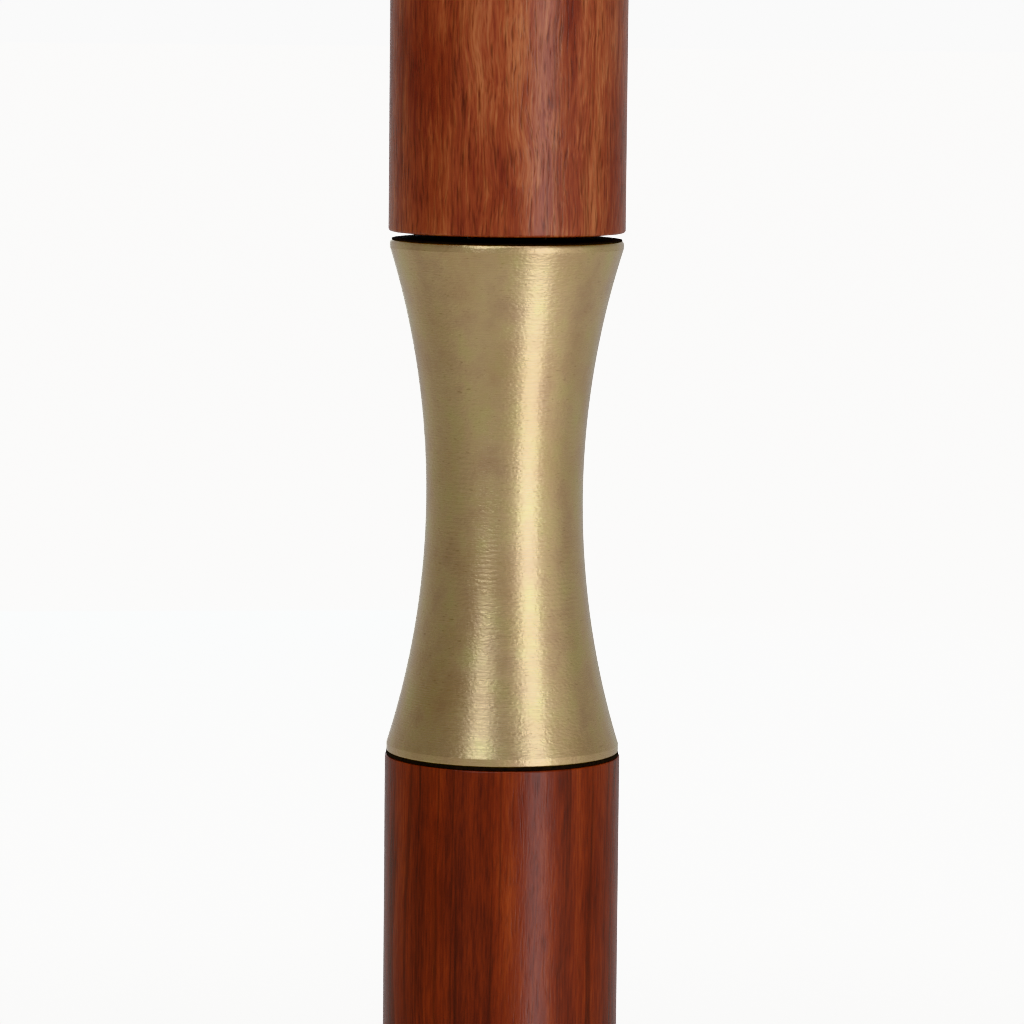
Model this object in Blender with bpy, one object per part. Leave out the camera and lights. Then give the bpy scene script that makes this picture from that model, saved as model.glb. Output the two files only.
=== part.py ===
"""Sectional wooden pole: two turned hardwood sections joined by a waisted brass coupling.

Each joint is a coarse screw joint. The upper piece of a joint carries a steel stud that points down, and
the lower piece holds the threaded hole. A black gasket is bonded to each end face of the coupling, and an
O-ring sits in the groove at the root of each stud. The sockets and the stud plate are let into the ends of
the wood, flush, and held by three countersunk screws each. The same socket closes the two free ends of the
pole, for a foot, a finial or a further section.

The origin is the centre of the foot face, +Z runs up the pole.
"""

import math

import bmesh
import bpy
from mathutils import Matrix

MM = 0.001

# Pole sections
POLE_RADIUS = 19.0 * MM
POLE_LENGTH = 130.0 * MM
POLE_EDGE_ROUND = 0.6 * MM

# Coupling
COUPLING_LENGTH = 82.4 * MM
COUPLING_END_RADIUS = 18.75 * MM
COUPLING_WAIST_RADIUS = 12.65 * MM
COUPLING_LAND = 1.3 * MM  # straight band at each end, beside the flare
COUPLING_EDGE_ROUND = 0.3 * MM
COUPLING_BORE_DEPTH = 20.0 * MM

# Gaskets
GASKET_RADIUS = 18.5 * MM
GASKET_HOLE_RADIUS = 7.6 * MM
GASKET_THICKNESS = 0.3 * MM
GASKET_BOND_GAP = 0.1 * MM
SEAT_GAP = 0.6 * MM  # coupling face to pole face with the joint screwed home
BACK_OFF_TURNS = 0.2  # the upper section stands this far short of home

# Joint thread, trapezoidal 12 x 3, right-handed
PITCH = 3.0 * MM
MALE_CORE = 4.4 * MM
MALE_CREST = 6.0 * MM
RIDGE_ROOT_WIDTH = 1.7 * MM
RIDGE_CREST_WIDTH = 0.9 * MM
THREAD_CLEARANCE = 0.3 * MM
MALE_TURNS = 4.0
TAPPED_EXTRA_TURNS = 1.5  # how much longer the tapped thread is
THREAD_BURIAL = 0.5 * MM  # how deep a ridge's foot lies in the body that it joins or cuts
THREAD_FADE_START = 0.25  # share of a ridge's height left where it fades out
THREAD_SIDES = 12

# Stud
STUD_GROOVE = 3.0 * MM  # length of the plain groove under the face, where the O-ring sits
STUD_TIP = 1.2 * MM
STUD_SPIGOT_LENGTH = 20.0 * MM
STUD_CHAMFER = 1.0 * MM
STUD_HEAD_OVERLAP = 1.0 * MM  # how far the stud runs into its head
STUD_HEAD_ACROSS_FLATS = 14.0 * MM
STUD_HEAD_HEIGHT = 5.0 * MM

# O-ring
O_RING_RADIUS = 5.7 * MM
O_RING_CORD_RADIUS = 0.9 * MM
O_RING_DROP = 1.2 * MM  # face to the ring's mid plane

# Socket and plates
PLATE_RADIUS = 15.0 * MM
PLATE_THICKNESS = 2.0 * MM
SOCKET_COLLAR_RADIUS = 9.0 * MM
SOCKET_DEPTH = 22.0 * MM
SOCKET_FLOOR = 2.0 * MM
SOCKET_CHAMFER = 0.5 * MM
MOUTH_RADIUS = 7.2 * MM
MOUTH_DEPTH = 3.6 * MM
FIT_GAP = 0.3 * MM

# Screws
SCREW_CIRCLE = 11.2 * MM
SCREW_COUNT = 3
SCREW_HEAD_RADIUS = 2.8 * MM
SCREW_HEAD_HEIGHT = 1.6 * MM
SCREW_SHANK_RADIUS = 1.3 * MM
SCREW_LENGTH = 12.0 * MM
SCREW_TIP = 3.0 * MM
SCREW_POINT_RADIUS = 0.26 * MM
SCREW_RECESS = 0.1 * MM
SCREW_RIM = 0.2 * MM  # straight edge of the head above its cone
SLOT_WIDTH = 0.7 * MM
SLOT_DEPTH = 0.8 * MM
SCREW_SIDES = 8
SCREW_TURN_STEP = math.pi / 4  # one side of the shank, so that a turned screw still fits its hole

POLE_SIDES = 48
BORE_SIDES = 24
CORD_SIDES = 6
ROUND_STEPS = 2
FLARE_STEPS = 12
CUT_OVERRUN = 1.0 * MM
MERGE_DISTANCE = 0.001 * MM
SHARP_ANGLE = math.radians(30)

# Heights worked out from the sizes above
LOWER_FACE = POLE_LENGTH
COUPLING_FOOT = LOWER_FACE + SEAT_GAP
COUPLING_TOP = COUPLING_FOOT + COUPLING_LENGTH
UPPER_TURN = BACK_OFF_TURNS * 2 * math.pi
UPPER_FACE = COUPLING_TOP + SEAT_GAP + BACK_OFF_TURNS * PITCH
POLE_TOP = UPPER_FACE + POLE_LENGTH
TAPPED_BORE = MALE_CORE + THREAD_CLEARANCE
SPIGOT_BORE = MALE_CREST + FIT_GAP
HALF_TURN_OVER = Matrix.Rotation(math.pi, 4, "X")


def clear_scene():
    for obj in list(bpy.data.objects):
        bpy.data.objects.remove(obj)


def make_material(name, colour, roughness, metallic):
    material = bpy.data.materials.new(name)
    material.use_nodes = True
    shader = material.node_tree.nodes["Principled BSDF"]
    shader.inputs["Base Color"].default_value = (*colour, 1.0)
    shader.inputs["Roughness"].default_value = roughness
    shader.inputs["Metallic"].default_value = metallic
    return material


def link(name, mesh, material, matrix=None):
    obj = bpy.data.objects.new(name, mesh)
    bpy.context.scene.collection.objects.link(obj)
    if material and not mesh.materials:
        mesh.materials.append(material)
    if matrix:
        obj.matrix_world = matrix
    return obj


def combine(obj, operation, others):
    """One Boolean with all the other objects at once, which are hidden in a collection of their own."""
    group = bpy.data.collections.new(f"{obj.name}_{operation.lower()}")
    bpy.context.scene.collection.children.link(group)
    for other in others:
        bpy.context.scene.collection.objects.unlink(other)
        group.objects.link(other)
        other.hide_render = True
        other.display_type = "WIRE"
    modifier = obj.modifiers.new(operation.lower(), "BOOLEAN")
    modifier.operation = operation
    modifier.solver = "EXACT"
    modifier.operand_type = "COLLECTION"
    modifier.collection = group


def finish_mesh(bm, name):
    bmesh.ops.recalc_face_normals(bm, faces=bm.faces)
    mesh = bpy.data.meshes.new(name)
    bm.to_mesh(mesh)
    bm.free()
    mesh.shade_smooth()
    mesh.set_sharp_from_angle(angle=SHARP_ANGLE)
    return mesh


def turned_mesh(name, outline, sides, ring=False):
    """Spins an outline of (radius, height) round Z. A flat face closes each end, unless the outline is a
    ring. The first corner stands half a side off +X, so that the corners of shapes cut from each other don't
    meet."""
    bm = bmesh.new()
    half_side = math.pi / sides
    verts = [
        bm.verts.new((radius * math.cos(half_side), radius * math.sin(half_side), height))
        for radius, height in outline
    ]
    pairs = list(zip(verts, verts[1:]))
    if ring:
        pairs.append((verts[-1], verts[0]))
    edges = [bm.edges.new(pair) for pair in pairs]
    bmesh.ops.spin(
        bm, geom=verts + edges, cent=(0, 0, 0), axis=(0, 0, 1), angle=2 * math.pi, steps=sides, use_merge=True
    )
    bmesh.ops.remove_doubles(bm, verts=bm.verts, dist=MERGE_DISTANCE)
    if not ring:
        bmesh.ops.holes_fill(bm, edges=bm.edges)
    return finish_mesh(bm, name)


def rounded_corner(radius, height, size, up):
    """Points of a quarter round on an outer corner, from the flat face to the side. up is -1 on a top one."""
    points = []
    for i in range(ROUND_STEPS + 1):
        angle = math.pi / 2 * i / ROUND_STEPS
        points.append((radius - size * (1 - math.sin(angle)), height + up * size * (1 - math.cos(angle))))
    return points


def helix_ridge_mesh(name, buried, root, crest, root_width, crest_width, start, turns):
    """A trapezoidal ridge wound right-handed round Z, from start upwards. It fades out over a quarter turn at
    each end. Its foot is buried, so that a Boolean joins or cuts it cleanly."""
    bm = bmesh.new()
    steps = round(turns * THREAD_SIDES)
    fade = THREAD_SIDES // 4
    slope = (root_width - crest_width) / (crest - root)
    previous = None
    for step in range(steps + 1):
        share = min(1.0, step / fade, (steps - step) / fade)
        top = buried + (crest - buried) * (THREAD_FADE_START + (1 - THREAD_FADE_START) * share)
        angle = 2 * math.pi * step / THREAD_SIDES
        middle = start + PITCH * step / THREAD_SIDES
        section = []
        for radius, side in ((buried, -1), (top, -1), (top, 1), (buried, 1)):
            half = (root_width - slope * (radius - root)) / 2
            section.append(
                bm.verts.new((radius * math.cos(angle), radius * math.sin(angle), middle + side * half))
            )
        if previous:
            for i in range(4):
                bm.faces.new((previous[i], previous[i - 1], section[i - 1], section[i]))
        else:
            bm.faces.new(section)
        previous = section
    bm.faces.new(reversed(previous))
    return finish_mesh(bm, name)


def take_mesh(obj, name):
    """The mesh with its modifiers applied, for pieces that share one shape. The object and its cutters go."""
    bpy.context.view_layer.update()
    graph = bpy.context.evaluated_depsgraph_get()
    mesh = bpy.data.meshes.new_from_object(obj.evaluated_get(graph))
    mesh.name = name
    for modifier in obj.modifiers:
        for cutter in list(modifier.collection.objects):
            bpy.data.objects.remove(cutter)
        bpy.data.collections.remove(modifier.collection)
    bpy.data.objects.remove(obj)
    return mesh


def male_thread_start():
    """Height of the lowest point of the ridge's middle line, below the face that the stud stands on."""
    return -STUD_GROOVE - PITCH / 4 - MALE_TURNS * PITCH


def male_ridge(name):
    """The thread of a stud whose face is at z = 0 and whose tip points down."""
    return helix_ridge_mesh(
        name,
        MALE_CORE - THREAD_BURIAL,
        MALE_CORE,
        MALE_CREST,
        RIDGE_ROOT_WIDTH,
        RIDGE_CREST_WIDTH,
        male_thread_start(),
        MALE_TURNS,
    )


def tap_mesh(name):
    """The cutter for the thread of the hole under a face at z = 0. The ridge at home lies in its middle."""
    return helix_ridge_mesh(
        name,
        TAPPED_BORE - THREAD_BURIAL,
        MALE_CORE,
        MALE_CREST + THREAD_CLEARANCE,
        RIDGE_ROOT_WIDTH + 2 * THREAD_CLEARANCE,
        RIDGE_CREST_WIDTH + THREAD_CLEARANCE,
        male_thread_start() + SEAT_GAP - PITCH,
        MALE_TURNS + TAPPED_EXTRA_TURNS,
    )


def screw_places():
    for i in range(SCREW_COUNT):
        angle = math.pi / 2 + 2 * math.pi * i / SCREW_COUNT
        yield SCREW_CIRCLE * math.cos(angle), SCREW_CIRCLE * math.sin(angle)


def screw_hole_mesh(name):
    """The clearance round one countersunk screw under a face at z = 0."""
    head = SCREW_HEAD_RADIUS + FIT_GAP
    shank = SCREW_SHANK_RADIUS + FIT_GAP
    outline = [
        (shank, -SCREW_LENGTH - FIT_GAP),
        (shank, -SCREW_RECESS - SCREW_HEAD_HEIGHT),
        (head, -SCREW_RECESS - SCREW_RIM),
        (head, CUT_OVERRUN),
    ]
    return turned_mesh(name, outline, SCREW_SIDES)


def screw_holes(label, frame):
    mesh = screw_hole_mesh("screw_hole")
    return [
        link(f"{label}_hole_{i + 1}", mesh, None, frame @ Matrix.Translation((x, y, 0)))
        for i, (x, y) in enumerate(screw_places())
    ]


def pole_mesh(name):
    outline = rounded_corner(POLE_RADIUS, 0, POLE_EDGE_ROUND, 1)
    outline += reversed(rounded_corner(POLE_RADIUS, POLE_LENGTH, POLE_EDGE_ROUND, -1))
    return turned_mesh(name, outline, POLE_SIDES)


def socket_pocket_mesh(name):
    """The bore in the wood for a socket whose face is at z = 0."""
    collar = SOCKET_COLLAR_RADIUS + FIT_GAP
    recess = PLATE_RADIUS + FIT_GAP
    outline = [
        (collar, -SOCKET_DEPTH - FIT_GAP),
        (collar, -PLATE_THICKNESS - FIT_GAP),
        (recess, -PLATE_THICKNESS - FIT_GAP),
        (recess, CUT_OVERRUN),
    ]
    return turned_mesh(name, outline, BORE_SIDES)


def socket_pocket(label, frame):
    pocket = link(f"{label}_pocket", socket_pocket_mesh(f"{label}_pocket"), None, frame)
    return [pocket, *screw_holes(label, frame)]


def stud_pocket(label, frame):
    """The recess for the stud plate, and the six-sided pocket behind it that keeps the stud from turning."""
    recess_floor = -PLATE_THICKNESS - FIT_GAP
    recess_radius = PLATE_RADIUS + FIT_GAP
    recess = [(recess_radius, recess_floor), (recess_radius, CUT_OVERRUN)]
    floor = recess_floor - STUD_HEAD_HEIGHT - FIT_GAP
    corner = (STUD_HEAD_ACROSS_FLATS / 2 + FIT_GAP) / math.cos(math.pi / 6)
    hexagon = [(corner, floor), (corner, 0)]
    return [
        link(f"{label}_recess", turned_mesh(f"{label}_recess", recess, BORE_SIDES), None, frame),
        link(f"{label}_hexagon", turned_mesh(f"{label}_hexagon", hexagon, 6), None, frame),
        *screw_holes(label, frame),
    ]


def bore_mesh(name, floor):
    """The tapped bore under a face at z = 0, with its wider mouth for the O-ring."""
    outline = [
        (TAPPED_BORE, floor),
        (TAPPED_BORE, -MOUTH_DEPTH),
        (MOUTH_RADIUS, -MOUTH_DEPTH),
        (MOUTH_RADIUS, CUT_OVERRUN),
    ]
    return turned_mesh(name, outline, THREAD_SIDES)


def make_socket_mesh(material):
    """The flanged threaded socket, its face at z = 0 and its blind collar pointing down."""
    body = link(
        "socket_blank",
        turned_mesh(
            "socket_blank",
            [
                (SOCKET_COLLAR_RADIUS - SOCKET_CHAMFER, -SOCKET_DEPTH),
                (SOCKET_COLLAR_RADIUS, -SOCKET_DEPTH + SOCKET_CHAMFER),
                (SOCKET_COLLAR_RADIUS, -PLATE_THICKNESS),
                (PLATE_RADIUS, -PLATE_THICKNESS),
                (PLATE_RADIUS, 0),
            ],
            BORE_SIDES,
        ),
        material,
    )
    bore = link("socket_bore", bore_mesh("socket_bore", -SOCKET_DEPTH + SOCKET_FLOOR), None)
    groove = link("socket_groove", tap_mesh("socket_groove"), None)
    combine(body, "DIFFERENCE", [bore, groove, *screw_holes("socket", Matrix())])
    return take_mesh(body, "socket")


def make_screw_mesh(material):
    """One slotted countersunk screw under a face at z = 0."""
    body = link(
        "screw_blank",
        turned_mesh(
            "screw_blank",
            [
                (SCREW_POINT_RADIUS, -SCREW_LENGTH),
                (SCREW_SHANK_RADIUS, -SCREW_LENGTH + SCREW_TIP),
                (SCREW_SHANK_RADIUS, -SCREW_RECESS - SCREW_HEAD_HEIGHT),
                (SCREW_HEAD_RADIUS, -SCREW_RECESS - SCREW_RIM),
                (SCREW_HEAD_RADIUS, -SCREW_RECESS),
            ],
            SCREW_SIDES,
        ),
        material,
    )
    bm = bmesh.new()
    bmesh.ops.create_cube(bm, size=1.0)
    bmesh.ops.scale(bm, vec=(4 * SCREW_HEAD_RADIUS, SLOT_WIDTH, 2 * SLOT_DEPTH), verts=bm.verts)
    bmesh.ops.translate(bm, vec=(0, 0, -SCREW_RECESS), verts=bm.verts)
    combine(body, "DIFFERENCE", [link("screw_slot", finish_mesh(bm, "screw_slot"), None)])
    return take_mesh(body, "screw")


def place_screws(mesh, frame, label):
    for i, (x, y) in enumerate(screw_places()):
        turn = Matrix.Rotation(SCREW_TURN_STEP * (3 * i + 1), 4, "Z")
        link(f"{label}_screw_{i + 1}", mesh, None, frame @ Matrix.Translation((x, y, 0)) @ turn)


def stud_thread_outline(top):
    """Outline of a stud whose face is at z = 0: its threaded end, then the points of its top."""
    bottom = male_thread_start() - PITCH / 4
    return [
        (MALE_CORE - STUD_TIP, bottom - STUD_TIP),
        (MALE_CORE, bottom),
        (MALE_CORE, 0),
        *top,
    ]


def make_lower_stud(material):
    """Pressed into the foot of the coupling, pointing down."""
    outline = stud_thread_outline(
        [
            (MALE_CREST, 0),
            (MALE_CREST, STUD_SPIGOT_LENGTH - STUD_CHAMFER),
            (MALE_CREST - STUD_CHAMFER, STUD_SPIGOT_LENGTH),
        ]
    )
    frame = Matrix.Translation((0, 0, COUPLING_FOOT))
    stud = link("lower_stud", turned_mesh("lower_stud", outline, THREAD_SIDES), material, frame)
    ridge = link("lower_stud_ridge", male_ridge("lower_stud_ridge"), material, frame)
    combine(stud, "UNION", [ridge])


def make_upper_stud(material, frame):
    """Passes through the stud plate, its six-sided head trapped behind it in the wood."""
    head_foot = PLATE_THICKNESS + FIT_GAP
    outline = stud_thread_outline([(MALE_CREST, 0), (MALE_CREST, head_foot + STUD_HEAD_OVERLAP)])
    stud = link("upper_stud", turned_mesh("upper_stud", outline, THREAD_SIDES), material, frame)
    ridge = link("upper_stud_ridge", male_ridge("upper_stud_ridge"), material, frame)
    corner = STUD_HEAD_ACROSS_FLATS / 2 / math.cos(math.pi / 6)
    head_top = head_foot + STUD_HEAD_HEIGHT
    head_outline = [(corner, head_foot), (corner, head_top)]
    head = link("upper_stud_head", turned_mesh("upper_stud_head", head_outline, 6), material, frame)
    combine(stud, "UNION", [ridge, head])


def make_stud_plate(material, frame):
    hole = MALE_CREST + FIT_GAP
    outline = [
        (hole, 0),
        (PLATE_RADIUS, 0),
        (PLATE_RADIUS, PLATE_THICKNESS),
        (hole, PLATE_THICKNESS),
    ]
    plate = link("stud_plate", turned_mesh("stud_plate", outline, BORE_SIDES, ring=True), material, frame)
    combine(plate, "DIFFERENCE", screw_holes("plate", frame @ HALF_TURN_OVER))


def coupling_outline():
    """The flare is one circular arc, through the waist and both lands."""
    half = COUPLING_LENGTH / 2 - COUPLING_LAND
    sagitta = COUPLING_END_RADIUS - COUPLING_WAIST_RADIUS
    arc_radius = (half**2 + sagitta**2) / (2 * sagitta)
    outline = rounded_corner(COUPLING_END_RADIUS, 0, COUPLING_EDGE_ROUND, 1)
    for i in range(FLARE_STEPS + 1):
        height = half * (2 * i / FLARE_STEPS - 1)
        radius = COUPLING_WAIST_RADIUS + arc_radius - math.sqrt(arc_radius**2 - height**2)
        outline.append((radius, COUPLING_LENGTH / 2 + height))
    outline += reversed(rounded_corner(COUPLING_END_RADIUS, COUPLING_LENGTH, COUPLING_EDGE_ROUND, -1))
    return outline


def make_coupling(material):
    foot = Matrix.Translation((0, 0, COUPLING_FOOT))
    top = Matrix.Translation((0, 0, COUPLING_TOP))
    body = link(
        "waisted_coupling", turned_mesh("waisted_coupling", coupling_outline(), POLE_SIDES), material, foot
    )
    spigot_depth = STUD_SPIGOT_LENGTH + FIT_GAP
    spigot = [(SPIGOT_BORE, -CUT_OVERRUN), (SPIGOT_BORE, spigot_depth)]
    cutters = [
        link("coupling_spigot_bore", turned_mesh("coupling_spigot_bore", spigot, THREAD_SIDES), None, foot),
        link("coupling_bore", bore_mesh("coupling_bore", -COUPLING_BORE_DEPTH), None, top),
        link("coupling_groove", tap_mesh("coupling_groove"), None, top),
    ]
    combine(body, "DIFFERENCE", cutters)


def make_gasket(name, material, height):
    outline = [
        (GASKET_HOLE_RADIUS, 0),
        (GASKET_RADIUS, 0),
        (GASKET_RADIUS, GASKET_THICKNESS),
        (GASKET_HOLE_RADIUS, GASKET_THICKNESS),
    ]
    link(
        name,
        turned_mesh(name, outline, BORE_SIDES, ring=True),
        material,
        Matrix.Translation((0, 0, height)),
    )


def make_o_ring(name, material, height):
    outline = []
    for i in range(CORD_SIDES):
        angle = 2 * math.pi * i / CORD_SIDES
        outline.append(
            (O_RING_RADIUS + O_RING_CORD_RADIUS * math.cos(angle), O_RING_CORD_RADIUS * math.sin(angle))
        )
    link(
        name,
        turned_mesh(name, outline, BORE_SIDES, ring=True),
        material,
        Matrix.Translation((0, 0, height)),
    )


def main():
    clear_scene()
    wood = make_material("lacquered_hardwood", (0.27, 0.07, 0.03), 0.4, 0.0)
    brass = make_material("satin_brass", (0.47, 0.35, 0.17), 0.35, 1.0)
    steel = make_material("plated_steel", (0.6, 0.6, 0.58), 0.3, 1.0)
    fibre = make_material("black_fibre", (0.012, 0.011, 0.010), 0.8, 0.0)
    rubber = make_material("black_rubber", (0.015, 0.015, 0.015), 0.6, 0.0)

    foot_frame = HALF_TURN_OVER
    lower_frame = Matrix.Translation((0, 0, LOWER_FACE))
    upper_frame = Matrix.Translation((0, 0, UPPER_FACE)) @ Matrix.Rotation(UPPER_TURN, 4, "Z")
    top_frame = Matrix.Translation((0, 0, POLE_TOP))

    lower_pole = link("lower_pole", pole_mesh("lower_pole"), wood)
    lower_cuts = socket_pocket("foot", foot_frame) + socket_pocket("lower_joint", lower_frame)
    combine(lower_pole, "DIFFERENCE", lower_cuts)
    upper_pole = link("upper_pole", pole_mesh("upper_pole"), wood, upper_frame)
    upper_cuts = stud_pocket("stud_plate", upper_frame @ HALF_TURN_OVER) + socket_pocket("top", top_frame)
    combine(upper_pole, "DIFFERENCE", upper_cuts)

    socket = make_socket_mesh(brass)
    link("foot_socket", socket, None, foot_frame)
    link("lower_joint_socket", socket, None, lower_frame)
    link("top_socket", socket, None, top_frame)
    make_stud_plate(brass, upper_frame)
    make_coupling(brass)
    make_lower_stud(steel)
    make_upper_stud(steel, upper_frame)

    make_gasket("lower_gasket", fibre, COUPLING_FOOT - GASKET_BOND_GAP - GASKET_THICKNESS)
    make_gasket("upper_gasket", fibre, COUPLING_TOP + GASKET_BOND_GAP)
    make_o_ring("lower_o_ring", rubber, COUPLING_FOOT - O_RING_DROP)
    make_o_ring("upper_o_ring", rubber, UPPER_FACE - O_RING_DROP)

    screw = make_screw_mesh(brass)
    place_screws(screw, foot_frame, "foot")
    place_screws(screw, lower_frame, "lower_joint")
    place_screws(screw, upper_frame @ HALF_TURN_OVER, "stud_plate")
    place_screws(screw, top_frame, "top")


main()
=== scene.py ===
"""Looks for a sectional hardwood pole, two turned sections joined by a waisted brass screw coupling."""

import math

import bpy
from mathutils import Matrix, Vector


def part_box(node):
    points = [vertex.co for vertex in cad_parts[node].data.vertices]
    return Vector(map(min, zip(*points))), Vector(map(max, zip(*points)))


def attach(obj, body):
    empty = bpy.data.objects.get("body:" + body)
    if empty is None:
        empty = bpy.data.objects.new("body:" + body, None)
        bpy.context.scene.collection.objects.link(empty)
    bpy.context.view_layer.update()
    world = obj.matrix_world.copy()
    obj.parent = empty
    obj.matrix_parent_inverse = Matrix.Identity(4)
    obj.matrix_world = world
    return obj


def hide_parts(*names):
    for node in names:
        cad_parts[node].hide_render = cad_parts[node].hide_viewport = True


MM = 0.001

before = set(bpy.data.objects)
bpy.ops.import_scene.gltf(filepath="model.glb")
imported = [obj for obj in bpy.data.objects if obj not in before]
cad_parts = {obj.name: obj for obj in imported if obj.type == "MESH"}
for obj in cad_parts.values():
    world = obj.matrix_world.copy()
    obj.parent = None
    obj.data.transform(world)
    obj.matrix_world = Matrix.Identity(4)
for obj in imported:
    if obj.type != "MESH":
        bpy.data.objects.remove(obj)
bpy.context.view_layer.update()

# Heights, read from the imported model
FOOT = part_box("lower_pole")[0][2]
LOWER_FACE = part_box("lower_pole")[1][2]
COUPLING_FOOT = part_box("waisted_coupling")[0][2]
COUPLING_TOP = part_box("waisted_coupling")[1][2]
UPPER_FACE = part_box("upper_pole")[0][2]
POLE_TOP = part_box("upper_pole")[1][2]

# The wood
POLE_RADIUS = 19.0 * MM
POLE_EDGE_ROUND = 0.5 * MM
LOWER_JOINT_ROUND = 0.25 * MM
RECESS_RADIUS = 15.15 * MM
RECESS_DEPTH = 2.2 * MM
COLLAR_BORE_RADIUS = 9.15 * MM
COLLAR_BORE_DEPTH = 22.2 * MM
HEXAGON_RADIUS = 8.3 * MM
HEXAGON_DEPTH = 7.8 * MM

# The coupling
COUPLING_LENGTH = COUPLING_TOP - COUPLING_FOOT
COUPLING_END_RADIUS = 18.75 * MM
COUPLING_WAIST_RADIUS = 12.65 * MM
COUPLING_LAND = 1.3 * MM
COUPLING_FOOT_ROUND = 0.3 * MM
COUPLING_TOP_ROUND = 0.6 * MM
COUPLING_HOLD = 0.08 * MM  # how far beyond a round a ring stands, which keeps the shading of the band flat
COUPLING_BORE_DEPTH = 20.0 * MM
SPIGOT_BORE_RADIUS = 6.15 * MM
SPIGOT_BORE_DEPTH = 20.2 * MM

# Gaskets and O-rings
UPPER_GASKET_RADIUS = 18.5 * MM
UPPER_GASKET_THICKNESS = 0.16 * MM
LOWER_GASKET_RADIUS = 18.78 * MM
# The lower gasket is as thick as the whole dark line at the lower joint, which is the gasket and the shadow
# in the gap beside it: part of its black is painted shade
LOWER_GASKET_AND_SHADE_THICKNESS = 0.57 * MM
GASKET_HOLE_RADIUS = 7.6 * MM
O_RING_RADIUS = 5.5 * MM
O_RING_CORD_RADIUS = 0.9 * MM

# Thread, trapezoidal 12 x 3
PITCH = 3.0 * MM
MALE_CORE = 4.4 * MM
MALE_CREST = 6.0 * MM
CREST_WIDTH = 0.95 * MM
ROOT_WIDTH = 1.05 * MM
THREAD_PLAY = 0.12 * MM
MALE_TURNS = 4.0
STUD_GROOVE = 3.0 * MM
STUD_TIP = 1.2 * MM

# Studs, sockets and plate
SPIGOT_LENGTH = 20.0 * MM
HEAD_CORNER_RADIUS = 8.08 * MM
HEAD_BOTTOM = 2.2 * MM
HEAD_TOP = 7.3 * MM
PLATE_RADIUS = 15.0 * MM
PLATE_THICKNESS = 2.0 * MM
PLATE_HOLE_RADIUS = 6.15 * MM
COLLAR_RADIUS = 9.0 * MM
SOCKET_DEPTH = 22.0 * MM
SOCKET_BORE_DEPTH = 20.0 * MM
MOUTH_RADIUS = 7.2 * MM
MOUTH_DEPTH = 3.6 * MM
SMALL_ROUND = 0.25 * MM

# Wood screws
SCREW_CIRCLE = 11.2 * MM
SCREW_HEAD_RADIUS = 2.8 * MM
SCREW_HEAD_HEIGHT = 1.6 * MM
SCREW_SHANK_RADIUS = 1.3 * MM
SCREW_LENGTH = 12.0 * MM
SCREW_PITCH = 1.2 * MM
SCREW_COUNT = 3
SLOT_WIDTH = 0.7 * MM
SLOT_DEPTH = 0.8 * MM

# How finely round things are turned
FINE_SIDES = 192
SMALL_SIDES = 96
THREAD_SIDES = 48
ROUND_STEPS = 8
FLARE_STEPS = 84
SHARP_ANGLE = math.radians(32)
CREASE_ANGLE = math.radians(13)

# The camera: a long lens, a little above the coupling and looking slightly down on it
CAMERA_LENS = 168.9
CAMERA_SENSOR = 36.0
CAMERA_DISTANCE = 767.9 * MM
CAMERA_ASIDE = 1.23 * MM
CAMERA_ABOVE_COUPLING_FOOT = 119.2 * MM
CAMERA_PITCH = math.radians(5.99)
CAMERA_ROLL = math.radians(0.564)

TONE_SPREAD = 0.4  # how far the wood's mixed noises stray to either side of their average
CHATTER_PITCH = 0.8 * MM

GLOW_DIRECTION = (0.7, -0.7, 0.0)
COOL_WHITE = (0.92, 1.02, 1.05)
WHITE = 1.9  # bright enough to stay pure white through the view transform


# ---------------------------------------------------------------- modelling


def deselect():
    if bpy.context.mode != "OBJECT":
        bpy.ops.object.mode_set(mode="OBJECT")
    bpy.ops.object.select_all(action="DESELECT")


def select_only(piece):
    deselect()
    piece.select_set(True)
    bpy.context.view_layer.objects.active = piece


def finish_piece(piece, name, sharp=SHARP_ANGLE):
    """Names the piece, points its faces outwards and leaves it at the origin with smooth sides."""
    select_only(piece)
    piece.name = name
    piece.data.name = name
    bpy.ops.object.transform_apply(location=True, rotation=True, scale=True)
    bpy.ops.object.mode_set(mode="EDIT")
    bpy.ops.mesh.select_all(action="SELECT")
    bpy.ops.mesh.normals_make_consistent(inside=False)
    bpy.ops.object.mode_set(mode="OBJECT")
    bpy.ops.object.shade_smooth_by_angle(angle=sharp)
    return piece


def turned(name, outline, sides=FINE_SIDES, ring=False):
    """Turns an outline of (radius, height) round Z, by extruding a circle along it. Flat faces close the two
    ends, unless the outline is a ring, which meets its own start."""
    deselect()
    radius, height = outline[0]
    bpy.ops.mesh.primitive_circle_add(vertices=sides, radius=radius, location=(0, 0, height))
    piece = bpy.context.active_object
    bpy.ops.object.transform_apply(location=True)
    bpy.ops.object.mode_set(mode="EDIT")
    bpy.ops.mesh.select_all(action="SELECT")
    for (last_radius, last_height), (radius, height) in zip(outline, outline[1:]):
        bpy.ops.mesh.extrude_region_move(TRANSFORM_OT_translate={"value": (0, 0, height - last_height)})
        growth = radius / last_radius
        bpy.ops.transform.resize(value=(growth, growth, 1), center_override=(0, 0, height))
    bpy.ops.mesh.select_all(action="SELECT")
    bpy.ops.mesh.remove_doubles(threshold=0.001 * MM)
    if not ring:
        bpy.ops.mesh.fill_holes(sides=0)
    return finish_piece(piece, name)


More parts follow.
